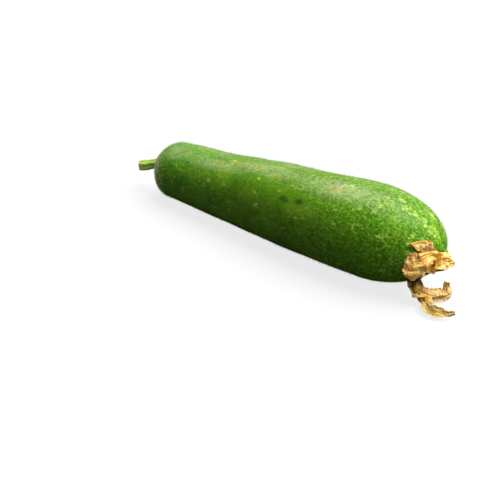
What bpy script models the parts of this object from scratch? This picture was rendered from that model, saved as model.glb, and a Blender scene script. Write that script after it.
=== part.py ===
"""A whole wax gourd of the hairy, club-shaped kind, as picked and lying on its belly.

The object has three pieces: the fruit, the cut stalk at its narrow end and the
withered flower that still hangs from its blossom end.

Units are metres and +Z is up. +X runs along the fruit from the stalk to the
blossom end. The origin is the middle of the flat spot that the belly rests on.
"""

from math import atan2, cos, hypot, pi, sin, sqrt

import bmesh
import bpy
from mathutils import Matrix, Vector, noise

MM = 0.001

# The fruit
FRUIT_LENGTH = 278 * MM
FRUIT_RADII = (  # evenly spaced from the stalk to the blossom end, before the ends are rounded
    22.9 * MM,
    25.5 * MM,
    26.9 * MM,
    29.4 * MM,
    31.9 * MM,
    33.2 * MM,
    34.9 * MM,
    35.1 * MM,
    35.4 * MM,
)
STALK_END_ROUNDING = 18.6 * MM  # how far the blunt shoulder reaches along the fruit
BLOSSOM_END_ROUNDING = 56.8 * MM
STALK_SEAT_DEPTH = 0.9 * MM  # how much of the round end the flat seat takes
FLOWER_SEAT_DEPTH = 0.35 * MM
BOW = 3.6 * MM  # both ends swing this far to +Y of the middle
SWAY = 4.2 * MM  # strength of the slight S on top of the bow
END_LIFT = 2 * MM  # how far the belly rises towards each end
BELLY_FLAT = 0.5 * MM  # how deep the ground has flattened the belly
LOBES = 5
LOBE_HEIGHT = 0.25 * MM
FRUIT_RINGS = 44
FRUIT_SIDES = 56

# The stalk
STALK_PATH = (
    Vector((0, 0, 0)),
    Vector((-6.5, -0.1, 0)) * MM,
    Vector((-13, -1.5, -1)) * MM,
    Vector((-19, -4.2, -2.7)) * MM,
    Vector((-25, -7.5, -4)) * MM,
)
STALK_RADII = (7.6 * MM, 5.9 * MM, 4.7 * MM, 4.1 * MM, 4.1 * MM, 4.5 * MM, 4.2 * MM)
STALK_RIDGES = 5
STALK_RIDGE_HEIGHT = 0.4 * MM
STALK_CUT_HOLLOW = 0.8 * MM
STALK_CUT_SHARE = 0.55  # how much of the cut end's width has sunk in
STALK_RINGS = 20
STALK_SIDES = 30

# The withered flower
SEAT_GAP = 0.45 * MM  # clearance between the fruit and the pieces on it
CUP_PATH = (
    Vector((0, 0, 0)),
    Vector((1.8, -0.4, -0.8)) * MM,
    Vector((3, -2.2, -3.8)) * MM,
    Vector((3.8, -4.2, -7.4)) * MM,
    Vector((4.1, -5.8, -10.4)) * MM,
)
CUP_RADII = (1.9 * MM, 1.8 * MM, 2.0 * MM, 2.6 * MM, 3.0 * MM, 2.4 * MM)
CUP_RIDGE_HEIGHT = 0.3 * MM
CUP_MOUTH = 0.8  # share of the cup's length at which the sepals stand
CUP_RINGS = 12
CUP_SIDES = 16
PETAL_THICKNESS = 0.8 * MM
TIP_ROUNDING = 0.16  # share of a petal's length over which its tip narrows
TIP_SHARE = 0.45  # how wide the tip still is where it ends
RAGGED_TIP = 0.07  # share of its length by which the tip is drawn back unevenly
CRINKLES_ALONG = 6
CRINKLES_ACROSS = 2.2
RAGS_ACROSS = 4
PETAL_ROWS = 24
PETAL_COLUMNS = 10
SEPAL_COUNT = 5
SEPAL_TURN = 0.8  # shares of a fifth that the first sepal is turned round the cup
SEPAL_RIBS = ((0.3, 0.1, 0.8), (0.62, 0, 1), (0.9, -0.12, 0.8), (1.1, -0.35, 0.3))  # out, back, width
SEPAL_LENGTH = 3.8 * MM
SEPAL_HALF_WIDTH = 1.7 * MM
SEPAL_ROWS = 8
SEPAL_COLUMNS = 4
GROUND_CLEARANCE = 1.1 * MM  # lowest that a petal's middle surface comes to the ground
FRUIT_CLEARANCE = 2 * MM  # nearest that it comes to the fruit
CLEARANCE_SOFTNESS = 1 * MM
MERGE_DISTANCE = 0.002 * MM  # points closer than this become one

FRUIT_GREEN = (0.13, 0.30, 0.045, 1)
STALK_GREEN = (0.22, 0.34, 0.07, 1)
WITHERED_BROWN = (0.42, 0.25, 0.09, 1)


class Petal:
    """A withered petal, given by ribs across it from the cup to the tip.

    A rib is (x, y, z, left, right): its middle point, from the middle of the flower's seat, and
    how far the petal reaches to either side of it.
    """

    def __init__(
        self, name, ribs, faces, roll, pleats, pleat_depth, crinkle, rows=PETAL_ROWS, columns=PETAL_COLUMNS
    ):
        self.name = name
        self.ribs = [Vector(rib) * MM for rib in ribs]
        self.faces = Vector(faces).normalized()
        self.roll = roll  # radians that each edge turns towards the side that the petal faces
        self.pleats = pleats
        self.pleat_depth = pleat_depth * MM
        self.crinkle = crinkle * MM
        self.rows = rows
        self.columns = columns


# Ribs, pleat depths and crinkles are in millimetres. The fold, the curl and the flap are turned-over
# parts and scraps of the larger petals.
PETALS = (
    Petal(
        "upper",
        (
            (3.5, -5, -7.5, 2.5, 2.5),
            (2.5, -12, -1.5, 3.6, 4.2),
            (1, -16.5, 2, 5, 5.2),
            (-1.5, -21, 2, 5.9, 6.2),
            (-4.5, -24.5, -0.5, 8.5, 8.7),
            (-8, -27, -3, 9.6, 9.5),
            (-11.5, -28.5, -4, 9.3, 9.2),
            (-14.5, -29.5, -4, 7.5, 7.5),
        ),
        faces=(0.5, -0.7, 0.5), roll=-0.6, pleats=2.5, pleat_depth=0.8, crinkle=2.2,
    ),
    Petal(
        "crest",
        (
            (2, -7, -4, 2.2, 2.2),
            (-0.5, -12.5, 1, 3, 3),
            (-3, -17, 6, 4.2, 4.2),
            (-4, -18, 8.5, 4.2, 4),
            (-4, -18, 9.4, 4.6, 3.3),
            (-4.5, -18, 10, 8.5, 3.6),
            (-5, -17.4, 10.8, 12.5, 4.3),
            (-5.4, -17, 11.6, 8, 3.5),
            (-6, -16.2, 12.2, 3, 2.5),
        ),
        faces=(0.5, -0.75, 0.4), roll=0.2, pleats=1.5, pleat_depth=0.4, crinkle=0.8,
    ),
    Petal(
        "fold",
        (
            (2, -11.5, 1.5, 2.5, 3),
            (4.5, -10, 1.5, 2.7, 3),
            (6, -7, 1, 2.8, 3),
            (7.5, -4.5, -1, 1.5, 2),
        ),
        faces=(0.6, -0.6, 0.5), roll=0.3, pleats=1, pleat_depth=0.3, crinkle=0.6, rows=12, columns=6,
    ),
    Petal(
        "wing",
        (
            (2, -14.5, -0.5, 5, 5.5),
            (5, -14, 0, 5.2, 6.3),
            (7, -11, -0.5, 3.4, 5.8),
            (8.5, -7, -2, 1.4, 4.8),
            (9, -3.5, -3.5, 0.8, 1.8),
        ),
        faces=(0.7, -0.55, 0.45), roll=0.3, pleats=3, pleat_depth=0.8, crinkle=0.8,
    ),
    Petal(
        "lower",
        (
            (4, -4.5, -10, 2, 2),
            (-2.5, -12.5, -10, 3, 3),
            (-7, -17.5, -12, 3.8, 3.8),
            (-10.5, -20, -16, 4.6, 4.6),
            (-10, -19, -21.5, 5.6, 5.6),
            (-7, -20.5, -25, 5.2, 5),
            (-3, -17, -28.5, 5.4, 5),
            (-0.5, -12, -31, 6.1, 5.5),
            (3.5, -6, -32, 6, 5.2),
            (6.5, -2.5, -30.5, 3.6, 4.3),
            (5.5, -1, -27, 3, 3),
            (5.5, -1, -22.5, 2.6, 2.6),
        ),
        faces=(0.55, -0.6, 0.6), roll=-0.5, pleats=1.5, pleat_depth=0.8, crinkle=1.5,
    ),
    Petal(
        "lowest",
        (
            (-9, -18.5, -14, 2.5, 2.5),
            (-11, -15, -23.5, 3, 3),
            (-8, -15.5, -31.5, 3.2, 3.2),
            (-1.5, -19, -33.5, 3.2, 3.2),
            (5, -25.5, -33, 3.8, 3.8),
            (10.5, -27, -32.5, 4.6, 4.3),
            (15.5, -25, -32.5, 4.1, 4),
            (20, -23.5, -32.5, 2.4, 1.9),
            (24, -21, -31, 2.8, 2.3),
        ),
        faces=(0.4, -0.6, 0.7), roll=0.9, pleats=1.0, pleat_depth=0.4, crinkle=1.0,
    ),
    Petal(
        "curl",
        (
            (-1.5, -16.2, -29, 0.7, 0.7),
            (-4.5, -21.5, -27.5, 1.9, 1.9),
            (-6.5, -23.5, -28, 1.6, 1.6),
            (-8.5, -24.5, -29, 0.7, 0.7),
        ),
        faces=(0.5, -0.6, 0.6), roll=0.5, pleats=1.0, pleat_depth=0.2, crinkle=0.6, rows=10, columns=5,
    ),
    Petal(
        "flap",
        (
            (-0.8, -15.8, -28.8, 0.8, 0.8),
            (0.6, -16.8, -31, 2.6, 2.6),
            (2.4, -17, -32.5, 1.8, 1.8),
            (4.4, -18, -33.5, 0.7, 0.7),
        ),
        faces=(0.5, -0.6, 0.6), roll=-0.5, pleats=1.0, pleat_depth=0.2, crinkle=0.6, rows=10, columns=5,
    ),
)
TORN_PETAL = Petal(
    "torn",
    (
        (3.5, -4.5, -8.5, 2, 2),
        (1.5, -12.5, -6.5, 3, 3),
        (-0.5, -16, -7, 4, 3.8),
        (-2.5, -18, -8, 3, 3.2),
    ),
    faces=(0.6, -0.7, 0.3), roll=0.5, pleats=2, pleat_depth=0.5, crinkle=1.2,
)


def clear_scene():
    """Empties the file of objects."""
    for thing in list(bpy.data.objects):
        bpy.data.objects.remove(thing, do_unlink=True)


def material(name, colour, roughness):
    """A plain Principled material."""
    made = bpy.data.materials.new(name)
    made.use_nodes = True
    shader = made.node_tree.nodes["Principled BSDF"]
    shader.inputs["Base Color"].default_value = colour
    shader.inputs["Roughness"].default_value = roughness
    shader.inputs["Metallic"].default_value = 0
    made.diffuse_color = colour
    return made


def smooth_through(points, share):
    """The value at a share of a smooth curve through points, which may be vectors or numbers."""
    spans = len(points) - 1
    span = min(int(share * spans), spans - 1)
    t = share * spans - span
    before = points[max(span - 1, 0)]
    start = points[span]
    end = points[span + 1]
    after = points[min(span + 2, spans)]
    return 0.5 * (
        2 * start
        + (end - before) * t
        + (2 * before - 5 * start + 4 * end - after) * t * t
        + (3 * start - before - 3 * end + after) * t * t * t
    )


def turned(name, profile, sides):
    """A mesh turned about its own Z from (radius, height) points that run from low to high."""
    outline = bpy.data.meshes.new(name + "_profile")
    points = [(radius, 0, height) for radius, height in reversed(profile)]
    outline.from_pydata(points, [(i, i + 1) for i in range(len(points) - 1)], [])
    lathe = bpy.data.objects.new(name + "_lathe", outline)
    bpy.context.scene.collection.objects.link(lathe)
    screw = lathe.modifiers.new("Screw", "SCREW")
    screw.steps = sides
    screw.render_steps = sides
    screw.use_merge_vertices = True
    screw.merge_threshold = 1e-6
    bpy.context.view_layer.update()
    evaluated = lathe.evaluated_get(bpy.context.evaluated_depsgraph_get())
    mesh = bpy.data.meshes.new_from_object(evaluated)
    mesh.name = name
    bpy.data.objects.remove(lathe)
    bpy.data.meshes.remove(outline)
    return mesh


def placed(name, mesh, collection, finish, location=(0, 0, 0)):
    """An object for the mesh, shaded smooth, in the collection."""
    thing = bpy.data.objects.new(name, mesh)
    thing.location = location
    collection.objects.link(thing)
    mesh.materials.clear()
    mesh.materials.append(finish)
    mesh.shade_smooth()
    return thing


def fruit_radius(station):
    """The fruit's radius at a distance from its stalk end, with both ends rounded off."""
    radius = smooth_through(FRUIT_RADII, station / FRUIT_LENGTH)
    from_stalk = max(0, 1 - station / STALK_END_ROUNDING)
    from_blossom = max(0, 1 - (FRUIT_LENGTH - station) / BLOSSOM_END_ROUNDING)
    return radius * sqrt(1 - min(1, from_stalk) ** 2) * sqrt(1 - min(1, from_blossom) ** 2)


def fruit_axis(station):
    """The fruit's middle line, which bows sideways and rises a little towards both ends."""
    share = station / FRUIT_LENGTH
    v = 2 * share - 1
    return Vector(
        (
            v * FRUIT_LENGTH / 2,
            BOW * v * v + SWAY * (v**3 - v),
            smooth_through(FRUIT_RADII, share) + END_LIFT * v * v - BELLY_FLAT,
        )
    )


def fruit_frame(station):
    """Middle line, level direction across it and the direction square to both, at a station."""
    step = 1 * MM
    ahead = (fruit_axis(station + step) - fruit_axis(station - step)).normalized()
    across = Vector((0, 0, 1)).cross(ahead).normalized()
    return fruit_axis(station), across, ahead.cross(across)


def fruit_profile():
    """(radius, station) points from the stalk's seat to the flower's seat, closer at the ends."""
    first = STALK_SEAT_DEPTH
    last = FRUIT_LENGTH - FLOWER_SEAT_DEPTH
    profile = [(0, first)]
    for ring in range(FRUIT_RINGS + 1):
        share = 0.5 - 0.5 * cos(pi * ring / FRUIT_RINGS)
        station = first + (last - first) * share
        profile.append((fruit_radius(station), station))
    profile.append((0, last))
    return profile


def build_fruit(collection):
    """The fruit: a turned club, bowed along its middle line, with shallow lobes and a flat belly."""
    mesh = turned("gourd_fruit", fruit_profile(), FRUIT_SIDES)
    for vertex in mesh.vertices:
        x, y, station = vertex.co
        radius = hypot(x, y)
        angle = atan2(y, x)
        middle, across, square = fruit_frame(station)
        fullness = min(1, radius / FRUIT_RADII[0])
        radius += LOBE_HEIGHT * fullness * cos(LOBES * angle)
        point = middle + radius * (cos(angle) * across + sin(angle) * square)
        point.z = max(point.z, 0)
        vertex.co = point
    skin = material("gourd_skin", FRUIT_GREEN, 0.5)
    return placed("gourd_fruit", mesh, collection, skin)


def bent_frame(path, share):
    """A point of a smooth path with the level direction across it and the one square to both."""
    step = 0.01
    low = min(max(share - step, 0), 1 - 2 * step)
    ahead = (smooth_through(path, low + 2 * step) - smooth_through(path, low)).normalized()
    if share == 0:
        ahead = Vector((1, 0, 0)) * (1 if ahead.x > 0 else -1)
    across = ahead.cross(Vector((0, 1, 0))).cross(ahead).normalized()
    return smooth_through(path, share), across, ahead.cross(across)


def bend(mesh, path, ridges, ridge_height, full_radius):
    """Bends a turned mesh, whose heights run from 0 to 1, along a path and raises ridges on it."""
    for vertex in mesh.vertices:
        x, y, share = vertex.co
        radius = hypot(x, y)
        angle = atan2(y, x)
        radius += ridge_height * cos(ridges * angle) * min(1, radius / full_radius)
        middle, across, square = bent_frame(path, share)
        vertex.co = middle + radius * (cos(angle) * across + sin(angle) * square)


def build_stalk(collection):
    """The cut stalk: a ridged stub that flares onto the fruit's shoulder and droops a little."""
    profile = [(0, 0)]
    for ring in range(STALK_RINGS + 1):
        share = ring / STALK_RINGS
        profile.append((smooth_through(STALK_RADII, share), share))
    hollow = 1 - STALK_CUT_HOLLOW / STALK_PATH[-1].length
    profile.append((STALK_RADII[-1] * STALK_CUT_SHARE, hollow))
    profile.append((0, hollow))
    mesh = turned("stalk", profile, STALK_SIDES)
    bend(mesh, STALK_PATH, STALK_RIDGES, STALK_RIDGE_HEIGHT, STALK_RADII[3])
    seat, _, _ = fruit_frame(STALK_SEAT_DEPTH)
    bark = material("stalk_skin", STALK_GREEN, 0.6)
    return placed("stalk", mesh, collection, bark, seat - Vector((SEAT_GAP, 0, 0)))


def soft_push(distance):
    """How far to push a point that lies this far beyond a limit: none well outside, all inside."""
    return 0.5 * (sqrt(distance * distance + CLEARANCE_SOFTNESS**2) - distance)


def petal_point(petal, along, across, seat):
    """A point of the petal's middle surface: along runs 0 to 1 from the cup, across runs -1 to 1."""
    crinkle_spot = Vector((along * CRINKLES_ALONG, across * CRINKLES_ACROSS, petal.ribs[-1].x / MM))
    rag_spot = Vector((across * RAGS_ACROSS, 7, 3))
    reach = along - RAGGED_TIP * along**4 * (0.5 + noise.noise(rag_spot))
    rib = smooth_through(petal.ribs, reach)
    step = 0.02
    low = min(max(reach - step, 0), 1 - 2 * step)
    ahead = smooth_through(petal.ribs, low + 2 * step).to_3d() - smooth_through(petal.ribs, low).to_3d()
    ahead.normalize()
    right = ahead.cross(petal.faces).normalized()
    face = right.cross(ahead)
    half_width = rib[4] if across > 0 else rib[3]
    if along > 1 - TIP_ROUNDING:
        t = (along - 1 + TIP_ROUNDING) / TIP_ROUNDING
        half_width *= TIP_SHARE + (1 - TIP_SHARE) * sqrt(1 - t * t)
    turn = petal.roll * across
    sideways = half_width * sin(turn) / petal.roll
    folds = petal.pleat_depth * along * cos(petal.pleats * pi * across)
    outwards = half_width * (1 - cos(turn)) / petal.roll + folds
    outwards += petal.crinkle * min(1, 2 * along) * noise.noise(crinkle_spot)
    point = seat + rib.to_3d() + right * sideways + face * outwards
    return clear_of_fruit(point)


def clear_of_fruit(point):
    """The point, pushed softly away from the fruit's rounded end and up from the ground."""
    station = point.x + FRUIT_LENGTH / 2
    past = max(0, station - FRUIT_LENGTH + BLOSSOM_END_ROUNDING)
    station = min(station, FRUIT_LENGTH)
    middle = fruit_axis(station)
    radius = smooth_through(FRUIT_RADII, station / FRUIT_LENGTH)
    sideways = Vector((0, point.y - middle.y, point.z - middle.z))
    size = hypot(sideways.length / radius, past / BLOSSOM_END_ROUNDING)
    slope = sideways / radius**2 + Vector((past / BLOSSOM_END_ROUNDING**2, 0, 0))
    distance = (size - 1) * size / slope.length
    point = point + slope.normalized() * soft_push(distance - FRUIT_CLEARANCE)
    point.z += soft_push(point.z - GROUND_CLEARANCE)
    return point


def build_petal(petal, seat):
    """The middle surface of one withered petal, split into triangles."""
    sheet = bmesh.new()
    bmesh.ops.create_grid(sheet, x_segments=petal.rows, y_segments=petal.columns, size=1)
    for vertex in sheet.verts:
        along = (vertex.co.x + 1) / 2
        vertex.co = petal_point(petal, along, vertex.co.y, seat)
    bmesh.ops.triangulate(sheet, faces=sheet.faces)
    mesh = bpy.data.meshes.new("petal_" + petal.name)
    sheet.to_mesh(mesh)
    sheet.free()
    return mesh


def sepals():
    """The five small sepals, shrunken and bent back round the cup's mouth."""
    mouth, across, square = bent_frame(CUP_PATH, CUP_MOUTH)
    down = across.cross(square)
    made = []
    for i in range(SEPAL_COUNT):
        angle = 2 * pi * (i + SEPAL_TURN) / SEPAL_COUNT
        out = cos(angle) * across + sin(angle) * square
        ribs = []
        for out_share, back_share, width in SEPAL_RIBS:
            point = (mouth + SEPAL_LENGTH * (out_share * out + back_share * down)) / MM
            half_width = SEPAL_HALF_WIDTH * width / MM
            ribs.append((*point, half_width, half_width))
        made.append(
            Petal(
                f"sepal_{i + 1}", ribs, faces=down, roll=0.8, pleats=1, pleat_depth=0.1, crinkle=0.8,
                rows=SEPAL_ROWS, columns=SEPAL_COLUMNS,
            )
        )
    return made


def without_specks(mesh):
    """Keeps only the mesh's largest connected shell, as crossing folds can leave tiny closed bubbles."""
    work = bmesh.new()
    work.from_mesh(mesh)
    bmesh.ops.remove_doubles(work, verts=work.verts, dist=MERGE_DISTANCE)
    bmesh.ops.triangulate(work, faces=work.faces)
    unseen = set(work.faces)
    shells = []
    while unseen:
        shell = []
        front = [unseen.pop()]
        while front:
            face = front.pop()
            shell.append(face)
            for edge in face.edges:
                if len(edge.link_faces) > 2:
                    continue  # a bubble only touches the rest along such an edge
                for other in edge.link_faces:
                    if other in unseen:
                        unseen.remove(other)
                        front.append(other)
        shells.append(shell)
    shells.sort(key=len)
    specks = [face for shell in shells[:-1] for face in shell]
    bmesh.ops.delete(work, geom=specks, context="FACES")
    bmesh.ops.delete(work, geom=[edge for edge in work.edges if edge.is_wire], context="EDGES")
    work.to_mesh(mesh)
    work.free()


def build_flower(collection):
    """The withered flower: a bent cup with limp petals, torn scraps and sepals, fused into one."""
    middle, _, _ = fruit_frame(FRUIT_LENGTH - FLOWER_SEAT_DEPTH)
    seat = middle + Vector((SEAT_GAP, 0, 0))
    profile = [(0, 0)]
    for ring in range(CUP_RINGS + 1):
        share = ring / CUP_RINGS
        profile.append((smooth_through(CUP_RADII, share), share))
    profile.append((0, 1))
    cup = turned("dried_flower", profile, CUP_SIDES)
    bend(cup, CUP_PATH, SEPAL_COUNT, CUP_RIDGE_HEIGHT, CUP_RADII[0])
    cup.transform(Matrix.Translation(seat))
    brown = material("withered_petal", WITHERED_BROWN, 0.8)
    flower = placed("dried_flower", cup, collection, brown)

    repeats = bpy.data.collections.new("flower_repeats")
    bpy.context.scene.collection.children.link(repeats)
    for petal in [*PETALS, TORN_PETAL, *sepals()]:
        thing = placed("petal_" + petal.name, build_petal(petal, seat), repeats, brown)
        wall = thing.modifiers.new("Thickness", "SOLIDIFY")
        wall.thickness = PETAL_THICKNESS
        wall.offset = 0
    join = flower.modifiers.new("Join", "BOOLEAN")
    join.operation = "UNION"
    join.operand_type = "COLLECTION"
    join.collection = repeats
    join.solver = "MANIFOLD"
    bpy.context.view_layer.update()
    whole = flower.evaluated_get(bpy.context.evaluated_depsgraph_get())
    joined = bpy.data.meshes.new_from_object(whole)
    flower.modifiers.clear()
    without_specks(joined)
    flower.data = joined
    for thing in list(repeats.objects):
        bpy.data.objects.remove(thing)
    bpy.data.collections.remove(repeats)
    return flower


def main():
    """Builds the gourd."""
    clear_scene()
    gourd = bpy.data.collections.new("wax_gourd")
    bpy.context.scene.collection.children.link(gourd)
    build_fruit(gourd)
    build_stalk(gourd)
    build_flower(gourd)


main()
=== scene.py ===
"""Looks of a whole wax gourd of the hairy, club-shaped kind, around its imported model.

The gourd lies on its belly. Its three solids are replaced by finer pieces of the same form: the
mottled skin with its coat of hairs, the ridged stalk with its cut end, and the withered flower,
one piece for each of its crumpled petals. Units are metres, +Z is up and +X runs along the fruit
from the stalk to the blossom end.
"""

import logging
from dataclasses import dataclass
from enum import Enum
from math import pi, radians

import bmesh
import bpy
import numpy as np
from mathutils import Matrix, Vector, noise


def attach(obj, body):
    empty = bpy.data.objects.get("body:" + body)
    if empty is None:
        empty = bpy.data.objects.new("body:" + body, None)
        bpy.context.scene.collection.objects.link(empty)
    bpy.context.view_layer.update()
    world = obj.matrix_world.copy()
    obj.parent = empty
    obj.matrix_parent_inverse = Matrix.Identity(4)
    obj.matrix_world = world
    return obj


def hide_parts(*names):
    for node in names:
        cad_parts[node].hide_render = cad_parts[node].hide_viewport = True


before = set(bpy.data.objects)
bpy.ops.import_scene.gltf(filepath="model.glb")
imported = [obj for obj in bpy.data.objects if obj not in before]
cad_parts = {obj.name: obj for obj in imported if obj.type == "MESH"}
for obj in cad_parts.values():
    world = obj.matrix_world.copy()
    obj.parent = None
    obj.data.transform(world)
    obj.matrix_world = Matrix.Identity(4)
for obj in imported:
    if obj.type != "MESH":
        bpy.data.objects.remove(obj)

MM = 0.001
LOG = logging.getLogger("wax_gourd")

Array = np.ndarray
Material = bpy.types.Material
Mesh = bpy.types.Mesh
Object = bpy.types.Object
Socket = bpy.types.NodeSocket
Colour = tuple[float, float, float, float]
Point = tuple[float, float, float]
Source = Socket | float | tuple[float, ...]
Inputs = dict[str | int, Source]


def paint(red: float, green: float, blue: float) -> Colour:
    """Turns a screen colour into the linear one that shaders take.

    Args:
        red: Red, from 0 to 255, as a screen shows it.
        green: Green, in the same way.
        blue: Blue, in the same way.

    Returns:
        The linear colour with full alpha.
    """
    shares = [value / 255 for value in (red, green, blue)]
    linear = [share / 12.92 if share <= 0.04045 else ((share + 0.055) / 1.055) ** 2.4 for share in shares]
    return (*linear, 1.0)


def smooth_through(points: Array, share: Array) -> Array:
    """Reads a smooth curve that passes through evenly spaced points.

    Args:
        points: The points, one in each row, or one number each.
        share: Where to read the curve, from 0 at the first point to 1 at the last.

    Returns:
        The curve's values, in share's shape with the points' columns after it.
    """
    spans = len(points) - 1
    span = np.clip((share * spans).astype(int), 0, spans - 1)
    t = (share * spans - span).reshape(span.shape + (1,) * (points.ndim - 1))
    before = points[np.maximum(span - 1, 0)]
    start = points[span]
    end = points[span + 1]
    after = points[np.minimum(span + 2, spans)]
    return 0.5 * (
        2 * start
        + (end - before) * t
        + (2 * before - 5 * start + 4 * end - after) * t**2
        + (3 * start - before - 3 * end + after) * t**3
    )


def unit(vectors: Array) -> Array:
    """Scales vectors, in the last axis, to length 1."""
    return vectors / np.maximum(np.linalg.norm(vectors, axis=-1, keepdims=True), 1e-12)


def eased(value: Array, low: float, high: float) -> Array:
    """Rises smoothly from 0 where value is low to 1 where it is high."""
    t = np.clip((value - low) / (high - low), 0, 1)
    return t * t * (3 - 2 * t)


def rumple(spots: Array, wave: float, shift: float = 0.0, octaves: int = 1) -> Array:
    """Smooth noise at many spots.

    Args:
        spots: The places, with x, y and z in the last axis.
        wave: The width of one bump, in the spots' units.
        shift: Moves the noise, so that each use has its own.
        octaves: How many finer layers it has.

    Returns:
        Values from about -1 to 1, in the spots' shape without its last axis.
    """
    places = (spots.reshape(-1, 3) / wave + shift).tolist()
    if octaves == 1:
        values = [noise.noise(place) for place in places]
    else:
        values = [noise.fractal(place, 0.8, 2.1, octaves) for place in places]
    return np.array(values).reshape(spots.shape[:-1])


def store(mesh: Mesh, name: str, values: Array) -> None:
    """Keeps a value for each point on the mesh, where materials and hairs can read it.

    Args:
        mesh: The mesh.
        name: The attribute's name.
        values: One number, or one row of three, for each of the mesh's points.
    """
    kind, key = ("FLOAT", "value") if values.ndim == 1 else ("FLOAT_VECTOR", "vector")
    attribute = mesh.attributes.new(name, kind, "POINT")
    attribute.data.foreach_set(key, values.astype(np.float32).ravel())


def closed_tube(name: str, rings: Array) -> Mesh:
    """Makes a closed mesh from rings of points, with a middle point at each end.

    Args:
        name: The mesh's name.
        rings: The points, by ring, then round the ring, then x, y and z.

    Returns:
        The mesh, whose first points are the rings' in order and whose last two are the middles.
    """
    count, sides, _ = rings.shape
    middles = [rings[0].mean(axis=0), rings[-1].mean(axis=0)]
    points = np.vstack([rings.reshape(-1, 3), middles])
    index = np.arange(count * sides).reshape(count, sides)
    beside = np.roll(index, -1, axis=1)
    walls = np.stack([index[:-1], beside[:-1], beside[1:], index[1:]], axis=-1).reshape(-1, 4)
    first = [(count * sides, b, a) for a, b in zip(index[0], beside[0])]
    last = [(count * sides + 1, a, b) for a, b in zip(index[-1], beside[-1])]
    mesh = bpy.data.meshes.new(name)
    mesh.from_pydata(points.tolist(), [], [*walls.tolist(), *first, *last])
    return facing_out(mesh)


def facing_out(mesh: Mesh) -> Mesh:
    """Turns the faces of a closed mesh outwards and shades it smooth."""
    work = bmesh.new()
    work.from_mesh(mesh)
    bmesh.ops.recalc_face_normals(work, faces=work.faces)
    work.to_mesh(mesh)
    work.free()
    mesh.shade_smooth()
    return mesh


def piece(name: str, mesh: Mesh, finish: Material) -> Object:
    """Puts a mesh into the scene under a name, with one material."""
    thing = bpy.data.objects.new(name, mesh)
    bpy.context.scene.collection.objects.link(thing)
    mesh.materials.clear()
    mesh.materials.append(finish)
    return thing


def work_in_modifiers(thing: Object) -> None:
    """Replaces the object's mesh by what its modifiers make of it, and removes them."""
    bpy.context.view_layer.update()
    evaluated = thing.evaluated_get(bpy.context.evaluated_depsgraph_get())
    made = bpy.data.meshes.new_from_object(evaluated)
    thing.modifiers.clear()
    thing.data = made


def rod_places(share: Array, angle: Array, radius: float, length: float) -> Array:
    """Places on a plain round rod, by ring and then round the ring, at which noise is read."""
    along, around = np.meshgrid(share * length, angle, indexing="ij")
    return np.stack([radius * np.cos(around), radius * np.sin(around), along], axis=-1)


def ways_out(angle: Array, across: Array, square: Array) -> Array:
    """The directions that point out from a path, by point of the path and then by angle."""
    cosine, sine = np.cos(angle)[:, None], np.sin(angle)[:, None]
    return cosine * across[..., None, :] + sine * square[..., None, :]


def report(thing: Object) -> None:
    """Logs a finished piece's name and how many triangles it has."""
    count = sum(len(face.vertices) - 2 for face in thing.data.polygons)
    LOG.info("%s: %d triangles", thing.name, count)


class Graph:
    """Adds and joins the nodes of one tree."""

    def __init__(self, tree: bpy.types.NodeTree) -> None:
        """Starts on a tree."""
        self.tree = tree

    def give(self, taker: Socket, value: Source) -> None:
        """Sets an input, or joins another node's output to it."""
        if isinstance(value, Socket):
            self.tree.links.new(value, taker)
        else:
            taker.default_value = value

    def add(self, kind: str, inputs: Inputs | None = None, **settings: object) -> bpy.types.Node:
        """Adds a node.

        Args:
            kind: The node's type.
            inputs: What each input takes, by its name or place: another node's output or a value.
            settings: The node's own options.

        Returns:
            The node.
        """
        node = self.tree.nodes.new(kind)
        for name, value in settings.items():
            setattr(node, name, value)
        for name, value in (inputs or {}).items():
            self.give(node.inputs[name], value)
        return node

    def math(self, operation: str, *numbers: Source) -> Socket:
        """One sum on two or three numbers."""
        return self.add("ShaderNodeMath", dict(enumerate(numbers)), operation=operation).outputs[0]

    def plus(self, first: Source, second: Source) -> Socket:
        """Two numbers added."""
        return self.math("ADD", first, second)

    def times(self, first: Source, second: Source) -> Socket:
        """Two numbers multiplied."""
        return self.math("MULTIPLY", first, second)

    def vector(self, operation: str, first: Source, second: Source) -> Socket:
        """One sum on two vectors."""
        return self.add("ShaderNodeVectorMath", {0: first, 1: second}, operation=operation).outputs[0]


@dataclass(frozen=True)
class Layer:
    """A colour that is laid over others where a pattern goes from low to high."""

    tint: Colour
    low: float
    high: float
    strength: float = 1.0


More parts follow.
